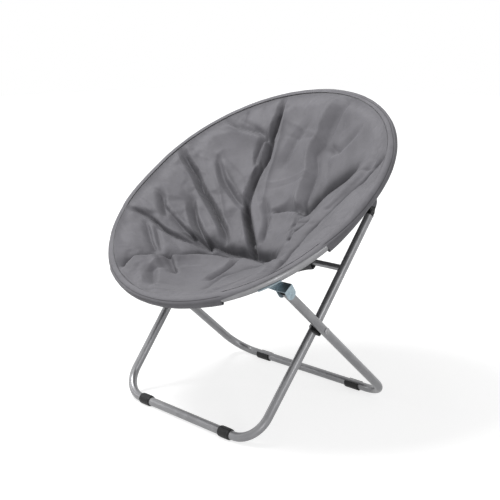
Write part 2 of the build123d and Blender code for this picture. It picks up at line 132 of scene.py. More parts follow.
# The struts' sleeves, the loop on the cross bar, and the front floor bar's clips
TUBE_WALL = 1.1  # of a sleeve, the loop and a clip
STRUT_FOOT = (250.0, 182.754, 506.568)
STRUT_HEAD = (240.0, 301.0)  # in the ring's plane
STRUT_CLOTH_FROM = 14.6  # from the strut's foot
STRUT_CLOTH_SHORT = 24.0  # of its head
STRUT_CLOTH_FLAT = 0.194  # its cut length, in metres
STRUT_CLOTH_STOPS = 44
STRUT_CLOTH_R = 9.9
STRUT_COLLAR = 1.7  # wider over the shoe's collar
STRUT_COLLAR_END = (24.0, 38.0)
STRUT_LIP = 0.7
STRUT_LIP_END = (14.0, 19.0)
STRUT_LEAST_R = 9.1
COLLAR_LEAST_R = 11.2
COLLAR_TOP = 30.0
BAR_AXIS = (79.073, 380.793)
LOOP_HALF = 155.0
LOOP_FLAT = 0.31  # its cut length, in metres
LOOP_STOPS = 90
LOOP_WIDE = 11.2
LOOP_HIGH = 10.6
LOOP_DEEP = 19.0  # at its ends
LOOP_DEEPER = 0.3  # for each millimetre in from an end,
LOOP_EVEN = 70.0  # up to here
LOOP_FLARE = 2.2  # wider at its ends,
LOOP_FLARE_REACH = 7.0  # for about so far
LOOP_NARROW = 0.35
FRONT_BAR = (-223.7, 13.5)
CLIP_X = 147.0
CLIP_HALF = 19.0
CLIP_STOPS = 45
CLIP_R = 12.25
CLIP_FULL = 1.85  # fuller in its middle
CLIP_GROOVE = 0.4
CLIP_GROOVE_AT = 0.62
CLIP_GROOVE_WIDE = 0.06
CLIP_FLAT = -13.4  # its flat foot, from the bar's axis

# The cloth simulation: the pad is stuffed and a little slack
CLOTH_SETTINGS = {
    "quality": 6,
    "mass": 0.25,
    "tension_stiffness": 18,
    "compression_stiffness": 18,
    "shear_stiffness": 8,
    "bending_stiffness": 0.25,
    "use_pressure": True,
    "uniform_pressure_force": 4.0,
    "shrink_min": -0.012,
    "vertex_group_mass": "pins",
    "pin_stiffness": 2,
}
CLOTH_FRAMES = 20
CLOTH_CAP = 0.009  # in metres

# The photograph's viewpoint and the light, in metres
VIEW_AZIMUTH = math.radians(44.44)
VIEW_ELEVATION = math.radians(13.02)
VIEW_DISTANCE = 2.3869
VIEW_TARGET = Vector((-0.0265, 0.0353, 0.3895))
FOCAL = 912 / 500  # in widths of the picture
SENSOR = 36
FLOOR_HALF = 12
FLOOR_GLOW = 0.74  # how white the floor is seen near the chair
WORLD_LIGHT = 0.26
LAMPS = (  # place, what it is aimed at, width and watts
    ("key", (-0.8, -1.0, 3.0), (0, 0, 0.4), 1.1, 66),
    ("side", (3.0, -0.6, 1.6), (0, 0, 0.4), 0.75, 13),
    ("front", (2.1, -2.1, 0.5), (0.1, -0.1, 0.4), 0.4, 7),
    ("left", (-2.6, -1.6, 1.2), (0, 0, 0.4), 1.2, 8),
)


# Shader maths -------------------------------------------------------------------------------------


class Wire:
    """A socket that takes part in sums inside a material, and from which nodes are added."""

    def __init__(self, tree, socket=None):
        self.tree, self.socket = tree, socket

    def node(self, kind, settings=None, output=0, **inputs):
        """Adds a node: its settings, then its sockets' values or links; i0 is its first socket."""
        made = self.tree.nodes.new(kind)
        for name, value in (settings or {}).items():
            setattr(made, name, value)
        for name, value in inputs.items():
            numbered = name[1:].isdigit()
            socket = made.inputs[int(name[1:]) if numbered else name.replace("_", " ")]
            if isinstance(value, Wire):
                self.tree.links.new(value.socket, socket)
            else:
                socket.default_value = (*value, 1) if socket.type == "RGBA" else value
        return Wire(self.tree, made.outputs[output])

    def _sum(self, operation, *terms):
        inputs = {f"i{place}": term for place, term in enumerate(terms)}
        return self.node("ShaderNodeMath", {"operation": operation}, **inputs)

    def __add__(self, other):
        return self._sum("ADD", self, other)

    def __radd__(self, other):
        return self._sum("ADD", other, self)

    def __mul__(self, other):
        return self._sum("MULTIPLY", self, other)

    def __rmul__(self, other):
        return self._sum("MULTIPLY", other, self)

    def at_most(self, other):
        return self._sum("MINIMUM", self, other)

    def at_least(self, other):
        return self._sum("MAXIMUM", self, other)

    def sine(self):
        return self._sum("SINE", self)

    def step_between(self, low, high):
        """0 under low, 1 over high, and smooth between."""
        smoothly = {"interpolation_type": "SMOOTHSTEP"}
        return self.node("ShaderNodeMapRange", smoothly, Value=self, From_Min=low, From_Max=high)


class Finish:
    """A material under construction, with the object's own coordinates in metres at hand."""

    def __init__(self, name, roughness=0.5, metallic=0.0, **fixed):
        self.material = bpy.data.materials.new(name)
        self.material.use_nodes = True
        self.tree = self.material.node_tree
        self.shader = self.tree.nodes["Principled BSDF"]
        for socket, value in {"Roughness": roughness, "Metallic": metallic, **fixed}.items():
            self.shader.inputs[socket.replace("_", " ")].default_value = value
        self.place = Wire(self.tree).node("ShaderNodeTexCoord", output="Object")

    def axes(self):
        """The object's own coordinates one by one."""
        split = self.place.node("ShaderNodeSeparateXYZ", Vector=self.place)
        return (Wire(self.tree, socket) for socket in split.socket.node.outputs)

    def noise(self, scale, detail=2.0, rough=0.5, stretch=None):
        """Cloudy noise from 0 to 1, at a scale in features a metre."""
        place = self.place
        if stretch:
            place = place.node("ShaderNodeMapping", Vector=place, Scale=stretch)
        shape = {"Scale": scale, "Detail": detail, "Roughness": rough}
        return place.node("ShaderNodeTexNoise", output="Fac", Vector=place, **shape)

    def attribute(self, name):
        """A number that the mesh carries at its points."""
        return self.place.node("ShaderNodeAttribute", {"attribute_name": name}, output="Fac")

    def mix(self, a, b, share):
        """One colour turning into another as share goes from 0 to 1."""
        colours = {"data_type": "RGBA"}
        return self.place.node("ShaderNodeMix", colours, output=2, i0=share, i6=a, i7=b)

    def put(self, **inputs):
        """Links the shader's sockets to what changes over the surface."""
        for name, wire in inputs.items():
            self.tree.links.new(wire.socket, self.shader.inputs[name.replace("_", " ")])

    def bump(self, *layers):
        """Relief from (height, depth in metres) layers."""
        relief = {}
        for height, depth in layers:
            shape = {"Height": height, "Distance": depth, "Strength": 1.0, **relief}
            relief = {"Normal": self.place.node("ShaderNodeBump", **shape)}
        self.put(**relief)


# Finishes -----------------------------------------------------------------------------------------

WEAVE_PITCH = 0.9 * MM  # in metres
# How far the painted shade darkens the colour in the deepest folds
FOLD_SHADE = 0.75


def seat_cloth_finish(name, colour, dark):
    """Dense polyester: a fine plain weave, a soft nap, and painted shade in the folds."""
    soft = {"Sheen_Weight": 0.12, "Sheen_Roughness": 0.4, "Specular_IOR_Level": 0.3}
    made = Finish(name, roughness=0.62, **soft)
    pitch = 2 * math.pi / WEAVE_PITCH
    x, y, z = made.axes()
    warp = (x * pitch).sine() * 0.5 + 0.5
    up = y * math.cos(RING_TILT) + z * math.sin(RING_TILT)
    weft = (up * pitch).sine() * 0.5 + 0.5
    nap = made.noise(14, 4, 0.6)
    mottle = made.noise(60, 3, 0.6)
    base = made.mix(colour, tuple(c * 0.86 for c in colour), nap.step_between(0.35, 0.7))
    base = made.mix(base, dark, mottle.step_between(0.5, 0.8) * 0.12)
    # Painted shade: the mesh's fold attribute darkens the colour in the folds, slits and seam
    # grooves
    fold = made.attribute("fold").at_least(0.0).at_most(1.0)
    base = made.mix(base, dark, fold * FOLD_SHADE)
    made.put(Base_Color=base, Roughness=0.58 + nap * 0.12)
    made.bump((warp * weft, 0.00006), (mottle, 0.0004), (nap, 0.0010))
    return made.material


def tube_finish():
    """Silver-grey powder coat: a fine orange peel and a soft gloss."""
    made = Finish("silver_tube_coat", roughness=0.32, metallic=0.55)
    cloud = made.noise(30, 3)
    peel = made.noise(400, 2)
    grime = made.noise(90, 4, 0.65)
    base = made.mix((0.31, 0.31, 0.32), (0.26, 0.26, 0.27), cloud.step_between(0.3, 0.7))
    base = made.mix(base, (0.25, 0.25, 0.25), grime.step_between(0.62, 0.8) * 0.15)
    made.put(Base_Color=base, Roughness=0.27 + grime * 0.12)
    made.bump((peel, 0.00001))
    return made.material


def plated_finish():
    """Bright plating on the small fasteners."""
    made = Finish("plated_fasteners", roughness=0.25, metallic=1.0)
    wear = made.noise(220, 4, 0.6)
    base = made.mix((0.36, 0.36, 0.37), (0.24, 0.24, 0.24), wear.step_between(0.4, 0.75))
    made.put(Base_Color=base, Roughness=0.34 + wear * 0.25)
    made.bump((made.noise(900, 2), 0.00006))
    return made.material


def zinc_finish():
    """Bluish zinc plating on pressed sheet, cloudy, with fine rolling marks."""
    made = Finish("zinc_bracket", roughness=0.35, metallic=0.85)
    cloud = made.noise(130, 3, 0.55)
    lines = made.noise(300, 2, 0.5, stretch=(1, 12, 1))
    base = made.mix((0.27, 0.34, 0.38), (0.38, 0.46, 0.50), cloud.step_between(0.3, 0.75))
    base = made.mix(base, (0.20, 0.24, 0.27), lines.step_between(0.55, 0.8) * 0.4)
    made.put(Base_Color=base, Roughness=0.28 + cloud * 0.22)
    made.bump((lines, 0.00008))
    return made.material


def plastic_finish():
    """Moulded black plastic with a faint grain."""
    made = Finish("black_moulding", roughness=0.5, Specular_IOR_Level=0.35)
    grain = made.noise(2600, 2)
    scuff = made.noise(120, 4, 0.65)
    base = made.mix((0.011, 0.011, 0.012), (0.030, 0.030, 0.031), scuff.step_between(0.5, 0.8))
    made.put(Base_Color=base, Roughness=0.42 + scuff * 0.2)
    made.bump((grain, 0.00012))
    return made.material


CLOTH = seat_cloth_finish("seat_cloth_grey", (0.194, 0.19, 0.206), (0.045, 0.044, 0.05))
BACKING = seat_cloth_finish("backing_cloth", (0.115, 0.115, 0.122), (0.05, 0.05, 0.055))
FINISH_OF_SLOT = {
    "seat_cloth": CLOTH,
    "dark_cloth": BACKING,
    "silver_tube": tube_finish(),
    "plated_steel": plated_finish(),
    "zinc_steel": zinc_finish(),
    "black_plastic": plastic_finish(),
}


def dress(obj, finish):
    obj.data.materials.clear()
    obj.data.materials.append(finish)


def smooth(obj, angle=35):
    """Rounds the shading of a mesh, and keeps edges sharper than the angle."""
    obj.data.polygons.foreach_set("use_smooth", [True] * len(obj.data.polygons))
    obj.data.set_sharp_from_angle(angle=math.radians(angle))


for part in frame["record"]["subparts"]:
    node = nodes[part["node"]]
    zinc_plated = part["node"] == "bracket_pins"
    dress(node, FINISH_OF_SLOT["zinc_steel" if zinc_plated else part["material_slot"]])
    smooth(node)


# The ring and the cloth's plan --------------------------------------------------------------------


def from_ring(x, up, over):
    """Points of the ring's own frame as the scene's metres."""
    x, up, over = np.broadcast_arrays(*(np.asarray(v, float) for v in (x, up, over)))
    y = up * UP_RING.y + over * OVER_RING.y
    z = RING_Z + up * UP_RING.z + over * OVER_RING.z
    return np.stack([x, y, z], axis=-1) * MM


def ring_stations(count):
    """Even stops round the ring: tube centre, way outwards, and degrees forward of the side."""
    arc, arm = math.pi * RING_R, 2 * RING_ARM
    x, up, out_x, out_up = (np.empty(count) for _ in range(4))
    for i in range(count):
        run = (i / count * 2 * (arc + arm) + RING_ARM) % (2 * (arc + arm))
        half, run = (1, run) if run < arc + arm else (-1, run - arc - arm)
        if run < arm:
            place, way = (RING_R, run - RING_ARM), (1, 0)
        else:
            angle = (run - arm) / RING_R
            way = math.cos(angle), math.sin(angle)
            place = RING_R * way[0], RING_ARM + RING_R * way[1]
        x[i], up[i], out_x[i], out_up[i] = (half * v for v in (*place, *way))
    forward = np.degrees(np.arctan2(-(up + RING_ARM), np.abs(x)))
    return x, up, out_x, out_up, forward


def round_tube(stations, turn, hug):
    """Points round the ring's tube, at a turn in degrees and a distance from the tube's centre."""
    x, up, out_x, out_up, _ = stations
    turn = np.radians(turn)
    away, over = hug * np.cos(turn), hug * np.sin(turn)
    return from_ring(x + away * out_x, up + away * out_up, over)


def ease(value, low, high):
    """0 at low, 1 at high, and smooth between."""
    t = np.clip((value - low) / (high - low), 0, 1)
    return t * t * (3 - 2 * t)


def bareness(forward):
    """1 where the tube is bare below the cloth, 0 where the cloth goes round it."""
    covered, bare = BARE_EASE
    starts = ease(forward, BARE_FROM - covered, BARE_FROM + bare)
    return starts * (1 - ease(forward, BARE_TO - bare, BARE_TO + covered))


def cover_edge(forward):
    """How far the upper cloth goes round the tube, as a turn in degrees."""
    stops = (-90, -60, -42, -28, -14, 0, BARE_FROM, 26, 40, 52, BARE_TO, 70, 90)
    turns = (44, 46, 44, 10, -12, 4, 34, 52, 56, 36, 18, 24, 36)
    return np.interp(forward, stops, turns)


def oval(angle, radius, arm):
    """A point on an outline like the ring's: two bends and two straight arms."""
    x, up = np.cos(angle), np.sin(angle)
    side = np.where(x >= 0, 1.0, -1.0)
    on_arm = np.abs(radius * up) <= arm * np.abs(x) + 1e-9
    lift = arm * np.where(up >= 0, 1.0, -1.0)
    along = up * lift + np.sqrt(np.maximum((up * lift) ** 2 - lift**2 + radius**2, 0))
    safe = np.where(np.abs(x) < 1e-6, 1e-6, x)
    arm_up = radius * up / safe * side
    return np.where(on_arm, side * radius, along * x), np.where(on_arm, arm_up, along * up)


# The folds of the padded cloth, in the ring's plan: the line, the groove's depth and half width,
# and how high the cloth stands on the line's left and right.
FOLDS = (
    (((-176, -339), (-196, -283), (-185, -253), (-161, -228), (-140, -193), (-117, -150),
      (-73, -126), (-15, -113), (52, -112), (120, -122)), 19, 11, 2, 20),
    (((276, -276), (235, -215), (190, -150), (178, -100), (181, -47), (196, -4), (216, 38),
      (246, 82), (286, 122), (318, 160), (342, 200)), 19, 10, 1, 1),
    (((-135, 350), (-132, 307), (-134, 258), (-125, 207), (-135, 146), (-128, 85), (-109, 42),
      (-64, -14), (-8, -76)), 12, 7, 9, 12),
    (((-350, 107), (-313, 83), (-281, 65), (-252, 38), (-195, 4), (-134, -36),
      (-105, -70)), 12, 8, 9, 7),
    (((-253, 134), (-214, 91), (-168, 66), (-118, 41)), 7, 8, 8, 6),
    (((-345, -145), (-292, -126), (-234, -138), (-176, -129), (-120, -120)), 8, 7, 7, 6),
    (((-271, -80), (-215, -99), (-137, -119)), 7, 7, 6, 4),
    (((-314, -43), (-284, -81), (-265, -97)), 7, 7, 3, 6),
    (((-274, -156), (-229, -197), (-189, -224)), 6, 7, 4, 3),
    (((-245, -153), (-186, -210)), 4, 6, 3, 3),
    (((-248, -11), (-215, -53), (-163, -91), (-115, -118)), 11, 8, 8, 5),
    (((-273, 242), (-239, 239), (-177, 252), (-145, 240)), 6, 7, 2, 8),
    (((-140, 243), (-158, 224), (-156, 197), (-145, 165)), 7, 7, 6, 3),
    (((77, 350), (63, 332), (49, 294), (51, 257), (34, 232), (58, 179), (55, 134),
      (83, 71)), 4, 17, -7, 14),
    (((165, 280), (107, 243), (60, 250)), 4, 9, 3, 2),
    (((-29, 57), (12, 73), (64, 70), (98, 56)), 9, 7, 2, 9),
    (((123, -50), (100, -5), (84, 45)), 6, 7, 3, 4),
    (((-72, 82), (-32, 31), (-4, -40)), 7, 8, 5, 5),
    (((-157, -204), (-120, -240), (-85, -264)), 8, 8, 5, 6),
    (((-151, -237), (-107, -265)), 5, 6, 3, 3),
    (((-51, -350), (-121, -293), (-119, -274)), 6, 9, 4, 4),
    (((11, -141), (5, -188), (13, -245)), 7, 9, 5, 4),
    (((150, -330), (170, -260), (165, -215)), 5, 12, 3, 3),
    (((240, -20), (262, 40), (300, 90)), 4, 12, 2, 2),
    (((-30, 300), (-60, 250), (-65, 190)), 4, 12, 3, 3),
)
FOLD_STRENGTH = 1.7
FULL_FOLD = 15  # depth at which a fold's painted shade is darkest
GROOVE_SHAPE = 1.25  # 1 is a sharp groove, 2 a round one
LIP_SHAPE = 1.2
CREST_AT = 1.9  # of a fold's half width, from its line
CREST_FALL = 2.2
LINE_FADE = (-0.12, 0.16)  # of a line's length, at each of its ends

# Sharp creases and slits in the taut cloth: the line, how high or deep, and the half width.
CREASES = (
    (((-350, 103), (-318, 81), (-272, 60), (-252, 40), (-198, 7), (-121, -52)), -6, 3.6),
    (((-350, 90), (-322, 68), (-280, 46), (-256, 24), (-204, -8), (-128, -62)), 3.5, 4),
    (((-248, 162), (-256, 132), (-226, 88), (-194, 48), (-118, -44)), 7, 7),
    (((-223, 122), (-189, 103), (-147, 72), (-120, 58)), -5, 6),
    (((-150, 262), (-148, 231), (-146, 204), (-139, 174), (-124, 109), (-119, 72)), -7, 4),
    (((-127, 62), (-94, 14), (-46, -28), (-6, -76)), -26, 6),
    (((-124, 345), (-110, 286), (-98, 197), (-99, 147), (-77, 74)), 5, 6),
    (((-105, 298), (-52, 289), (-7, 276), (36, 258)), 2.2, 4),
    (((-92, 263), (-42, 264), (13, 264)), -2, 3),
    (((-102, 128), (-26, 160), (42, 177)), 2, 3),
    (((-98, 112), (-26, 146), (52, 163)), -1.6, 3),
    (((-23, 52), (21, 71), (79, 65), (111, 45)), -8, 4.5),
    (((83, -14), (84, 22), (137, 17)), -5, 4),
    (((105, -40), (125, -8), (138, 24)), -9, 5.5),
    (((-230, 148), (-171, 126), (-124, 82)), -2, 3),
    (((-340, 120), (-300, 112), (-262, 118)), 2, 4),
    (((-230, 293), (-217, 249)), -3.5, 5),
    (((-239, 262), (-177, 256), (-150, 246)), -4, 3.6),
    (((67, 262), (92, 248), (116, 235)), -4, 4),
    (((89, 359), (66, 319), (56, 284), (56, 260)), -3, 5),
    (((42, 246), (27, 226), (56, 190), (56, 152), (65, 93), (104, 54)), -3, 4),
    (((212, 164), (180, 155), (152, 146), (126, 137), (106, 122), (92, 98), (86, 62)), -34, 14),
    (((352, 165), (300, 150), (240, 148)), -3, 4),
    (((316, 85), (284, 49), (256, -6)), 3, 5),
    (((-190, -110), (-140, -100), (-46, -84), (15, -80), (92, -88)), -28, 13),
    (((91, -318), (40, -248), (33, -207), (62, -168), (141, -152)), -5, 7),
    (((110, -305), (62, -245), (54, -207), (78, -176)), 3, 6),
    (((-45, -137), (-10, -137), (6, -122)), -6, 6),
    (((-155, -199), (-128, -225), (-77, -263)), -5, 5),
    (((-63, -362), (-124, -299), (-141, -242)), 4, 6),
    (((-52, -385), (-20, -360), (25, -350)), -3, 6),
    (((-313, -47), (-289, -71), (-264, -80)), -6, 4),
    (((-262, -76), (-192, -96), (-110, -121)), 5, 4.5),
    (((-274, -156), (-232, -193), (-189, -218)), -4, 4),
    (((-229, -174), (-180, -210)), -4, 3.5),
    (((-238, -19), (-205, -54), (-148, -97), (-105, -123)), -7, 4.5),
    (((-345, -138), (-292, -119), (-234, -131), (-176, -122), (-120, -113)), 4, 4.5),
    (((-251, -32), (-220, -68), (-164, -110)), 4, 4),
)
FULL_SLIT = 10  # depth at which a slit's painted shade is darkest
CREASE_SHAPE = 1.15


def bent(line, bend=0.35):
    """A line's corners cut twice, so that a fold curves."""
    line = np.array(line, float)
    for _ in range(2):
        if len(line) > 2:
            early = line[:-1] * (1 - bend / 2) + line[1:] * bend / 2
            late = line[:-1] * bend / 2 + line[1:] * (1 - bend / 2)
            corners = np.stack([early, late], 1).reshape(-1, 2)[1:-1]
            line = np.concatenate([line[:1], corners, line[-1:]])
    return line


def beside(line, x, up):
    """Each place's distance from a line, its side, and 1 where the line has begun and not ended."""
    line = bent(line)
    best = np.full_like(x, 1e9)
    side, where = np.zeros_like(x), np.zeros_like(x)
    lengths = np.hypot(*(line[1:] - line[:-1]).T)
    so_far = 0.0
    for (ax, au), (bx, bu), length in zip(line, line[1:], lengths):
        dx, du = (bx - ax) / length, (bu - au) / length
        along = np.clip((x - ax) * dx + (up - au) * du, 0, length)
        gap_x, gap_up = x - ax - along * dx, up - au - along * du
        away = np.hypot(gap_x, gap_up)
        near = away < best
        side = np.where(near, np.sign(dx * gap_up - du * gap_x), side)
        where = np.where(near, so_far + along, where)
        best = np.where(near, away, best)
        so_far += length
    fade = LINE_FADE[0] * so_far, LINE_FADE[1] * so_far
    return best, side, ease(where, *fade) * ease(so_far - where, *fade)


def fold_relief(x, up):
    """How the folds move the cloth at places of the plan, and how deep in a fold each place is."""
    relief, depth = np.zeros_like(x), np.zeros_like(x)
    for line, deep, wide, left, right in FOLDS:
        best, side, ends = beside(line, x, up)
        groove = np.exp(-((best / wide) ** GROOVE_SHAPE)) * ends
        crest = CREST_AT * wide
        fall = np.exp(-(best - crest) / (CREST_FALL * wide))
        lip = np.where(best < crest, (best / crest) ** LIP_SHAPE, fall) * ends
        relief += lip * np.where(side > 0, left, right) - deep * groove
        depth = np.maximum(depth, groove * deep / FULL_FOLD)
    return relief, np.clip(depth, 0, 1)


def crease_relief(x, up):
    """The sharp creases at places of the plan, and the painted shade in the slits among them."""
    relief, dark = np.zeros_like(x), np.zeros_like(x)
    for line, height, wide in CREASES:
        best, _, ends = beside(line, x, up)
        shape = np.exp(-((best / wide) ** CREASE_SHAPE)) * ends
        relief += height * shape
        # Painted shade: the deeper a slit, the darker its colour
        if height < 0:
            dark = np.maximum(dark, shape * -height / FULL_SLIT)
    return relief, np.clip(dark, 0, 1)


def dish_power(x, up):
    """How full the dish is towards its rim; the near side is pulled straighter."""
    aside = np.degrees(np.arctan2(up, x)) - STRAIGHT_AT
    return DISH_FULL - DISH_STRAIGHTER * np.exp(-((aside / STRAIGHT_SPREAD) ** 2))


def turned(x, up):
    """1 at the near right, where the cloth's seam has turned outwards, and 0 at the far left."""
    angle = np.degrees(np.arctan2(up, x))
    return np.interp(angle, (-180, -160, -138, 62, 98, 180), (0, 0, 1, 1, 0, 0))


def seam_turn(stations):
    """Where the seam lies on the tube: it wanders outwards at the near right."""
    angle = np.degrees(np.arctan2(stations[1], stations[0]))
    stops = (-180, -160, -136, -110, -80, -46, 0, 25, 44, 70, 98, 180)
    turns = (116, 100, 74, 62, 56, 54, 24, 42, 68, 92, 112, 118)
    return np.maximum(np.interp(angle, stops, turns), cover_edge(stations[4]) + SEAM_FROM_EDGE)


def top_height(x, up, share):
    """The upper cloth, and how deep in a fold each place is."""
    relief, depth = fold_relief(x, up)
    rim = ease(1 - share, 0.0, RIM_SHARE)
    edge = turned(x, up)
    height = PAD_OVER + PAD_TURNED * edge - PAD_DEPTH * (1 - share ** dish_power(x, up))
    swell = PAD_SWELL * np.sin(np.pi * np.clip(share, 0, 1)) ** (0.6 + 0.7 * edge)
    moved = (FOLD_STRENGTH * relief + swell) * (RIM_KEEP + (1 - RIM_KEEP) * rim)
    return height + moved * np.where(share < 1, 1, 0), depth * rim


def under_height(x, up, share, depth):
    """The plain underside, which hangs lower where a deep fold or slit lies on it."""
    slits, _ = crease_relief(x, up)
    sunk = np.minimum(slits, 0) * ease(1 - share, *UNDER_SLITS_IN)
    height = UNDER_OVER - UNDER_DEPTH * (1 - share ** dish_power(x, up))
    return height - UNDER_SINK * depth + sunk


# Pieces of cloth ----------------------------------------------------------------------------------


def new_piece(name, verts, faces, *finishes):
    mesh = bpy.data.meshes.new(name)
    mesh.from_pydata([tuple(v) for v in verts], [], faces)
    made = bpy.data.objects.new(name, mesh)
    bpy.context.scene.collection.objects.link(made)
    for finish in finishes:
        mesh.materials.append(finish)
    return made


def set_attribute(obj, name, values):
    made = obj.data.attributes.get(name) or obj.data.attributes.new(name, "FLOAT", "POINT")
    made.data.foreach_set("value", np.asarray(values, np.float32))


def apply_modifiers(obj):
    """Makes the modified mesh the object's own."""
    graph = bpy.context.evaluated_depsgraph_get()
    mesh = bpy.data.meshes.new_from_object(obj.evaluated_get(graph), depsgraph=graph)
    obj.modifiers.clear()
    obj.data = mesh


def subdivide(obj):
    modifier = obj.modifiers.new("round", "SUBSURF")
    modifier.levels = modifier.render_levels = 1
    apply_modifiers(obj)


def points_of(mesh, what="co"):
    """A mesh's places, or its normals, a row a point."""
    numbers = np.empty(len(mesh.vertices) * 3, np.float32)
    mesh.vertices.foreach_get(what, numbers)
    return numbers.reshape(-1, 3)


def settle(obj, pins):
    """Cloth simulation: held where pins are 1, and moved no further than the cap."""
    group = obj.vertex_groups.new(name="pins")
    pins = np.round(pins, 2)
    for value in np.unique(pins):
        if value > 0:
            group.add(np.flatnonzero(pins == value).tolist(), float(value), "REPLACE")
    before = points_of(obj.data)
    modifier = obj.modifiers.new("cloth", "CLOTH")
    for setting, value in CLOTH_SETTINGS.items():
        setattr(modifier.settings, setting, value)
    modifier.settings.effector_weights.gravity = 0
    modifier.collision_settings.use_collision = False
    modifier.point_cache.frame_start, modifier.point_cache.frame_end = 1, CLOTH_FRAMES
    scene = bpy.context.scene
    for stop in range(1, CLOTH_FRAMES + 1):
        scene.frame_set(stop)
    apply_modifiers(obj)
    scene.frame_set(1)
    moved = points_of(obj.data) - before
    far = np.linalg.norm(moved, axis=1, keepdims=True)
    moved *= np.minimum(1, CLOTH_CAP / np.maximum(far, 1e-9))
    obj.data.vertices.foreach_set("co", (before + moved).ravel())
    obj.data.update()


def face_outwards(obj):
    work = bmesh.new()
    work.from_mesh(obj.data)
    bmesh.ops.recalc_face_normals(work, faces=work.faces)
    work.to_mesh(obj.data)
    work.free()


def skin(loops, closed=False):
    """Faces from each loop of points to the next, and from the last to the first where closed."""
    faces = []
    for low, high in zip(loops, loops[1:] + loops[:1] if closed else loops[1:]):
        faces += [list(f) for f in zip(low, low[1:] + low[:1], high[1:] + high[:1], high)]
    return faces


def disc_grid(half):
    """A square grid pulled to a disc: each point's share out and angle, faces, and outer loop."""
    steps = np.arange(-half, half + 1) / half
    a, b = np.meshgrid(steps, steps, indexing="ij")
    wide = np.abs(a) >= np.abs(b)
    r = np.where(wide, a, b)
    safe = np.where(r == 0, 1, r)
    angle = np.where(wide, math.pi / 4 * b / safe, math.pi / 2 - math.pi / 4 * a / safe)
    angle = angle + np.where(r < 0, math.pi, 0)
    index = np.arange(a.size).reshape(a.shape)
    corners = index[:-1, :-1], index[1:, :-1], index[1:, 1:], index[:-1, 1:]
    faces = np.stack(corners, -1).reshape(-1, 4).tolist()
    loop = np.concatenate([index[-1, :-1], index[:0:-1, -1], index[0, :0:-1], index[:-1, 0]])
    return np.abs(r).ravel(), angle.ravel(), faces, loop


def tube_beside(x, up):
    """The ring's stations nearest to places on the dish's edge."""
    bend = np.where(np.abs(up) > RING_ARM, up - RING_ARM * np.sign(up), 0)
    size = np.hypot(x, bend)
    out_x, out_up = x / size, bend / size
    return RING_R * out_x, RING_R * out_up + (up - bend), out_x, out_up, None


def seat_pad():
    """The padded dish, from upper cloth to underside, and how firmly each point is pinned."""
    share, angle, faces, loop = disc_grid(PAD_GRID)
    x, up = oval(angle, PAD_R * share, RING_ARM * share)
    forward = DISH_BACK * (1 - share)
    up = up - forward
    top, depth = top_height(x, up, share)
    under = under_height(x, up, share, depth)
    verts = [from_ring(x, up, np.maximum(top, under + PAD_THIN))]
    stations = tube_beside(x[loop], up[loop])
    loops = [loop.tolist()]
    base = len(x)
    for turn in HUG_TURNS:
        verts.append(round_tube(stations, turn, HUG_R))
        loops.append(list(range(base, base + len(loop))))
        base += len(loop)
    verts.append(from_ring(x * UNDER_SHARE, (up + forward) * UNDER_SHARE - forward, under))
    faces += [[base + i for i in reversed(f)] for f in faces]
    loops.append((base + loop).tolist())
    faces += skin(loops)
    verts = np.concatenate(verts)
    made = new_piece("seat_pad", verts, faces, CLOTH, BACKING)
    first_backed = loops[2][0]
    made.data.polygons.foreach_set("material_index", [int(min(f) >= first_backed) for f in faces])
    face_outwards(made)
    pins = np.ones(len(verts))
    pins[: len(x)] = np.maximum(ease(depth, *PIN_FOLD) * PIN_FOLD_MOST, ease(share, *PIN_RIM))
    return made, pins


def crease(pad):
    """Presses the sharp creases into the upper cloth, and stores the painted shade of each fold,
    slit and the dish's edge.
    """
    mesh = pad.data
    places = points_of(mesh).astype(float)
    x, y, z = places.T / MM
    up = y * UP_RING.y + (z - RING_Z) * UP_RING.z
    upper = ease(points_of(mesh, "normal") @ np.array(OVER_RING), *UPPER_FACING)
    from_edge = PAD_R - np.hypot(x, np.maximum(np.abs(up) - RING_ARM, 0))
    inside = ease(from_edge, *CREASES_IN) * upper
    relief, dark = crease_relief(x, up)
    places += (relief * inside * MM)[:, None] * np.array(OVER_RING)
    mesh.vertices.foreach_set("co", places.astype(np.float32).ravel())
    _, depth = fold_relief(x, up)
    # Painted shade: a dark line along the dish's edge, where it goes under the cloth round the tube
    edge = np.exp(-np.maximum(from_edge, 0) / SEAM_SHADE_REACH) * upper * (1 - turned(x, up))
    set_attribute(pad, "fold", np.maximum(np.maximum(depth * SHADE, dark) * inside, edge * SHADE))
    mesh.update()


def band(name, stations, sections, closed):
    """A strip along the ring: at each station a closed section, given as (turn, hug) rows."""
    rows = [round_tube(stations, turn, hug) for turn, hug in sections]
    count, across = len(rows[0]), len(rows)
    loops = np.arange(count * across).reshape(count, across).tolist()
    faces = skin(loops, closed)
    if not closed:
        for end in (loops[0], loops[-1]):
            halfway = across // 2 - 1
            faces += [[end[k], end[k + 1], end[-2 - k], end[-1 - k]] for k in range(halfway)]
    made = new_piece(name, np.stack(rows, 1).reshape(-1, 3), faces, CLOTH)
    face_outwards(made)
    return made


def waver(stations, turn, size, seed):
    """Small unevenness of cloth on the tube."""
    x, up, *_ = stations
    turns = np.broadcast_to(turn, x.shape)
    places = zip(x / UNEVEN_LENGTH + seed, up / UNEVEN_LENGTH, turns / UNEVEN_TURN)
    return np.array([size * noise.noise(Vector(place)) for place in places])


def part_of(stations, keep):
    """The stations in one run, from those where keep is true."""
    start = next(i for i in range(len(keep)) if keep[i] and not keep[i - 1])
    order = [(start + i) % len(keep) for i in range(int(keep.sum()))]
    return tuple(v[order] for v in stations)


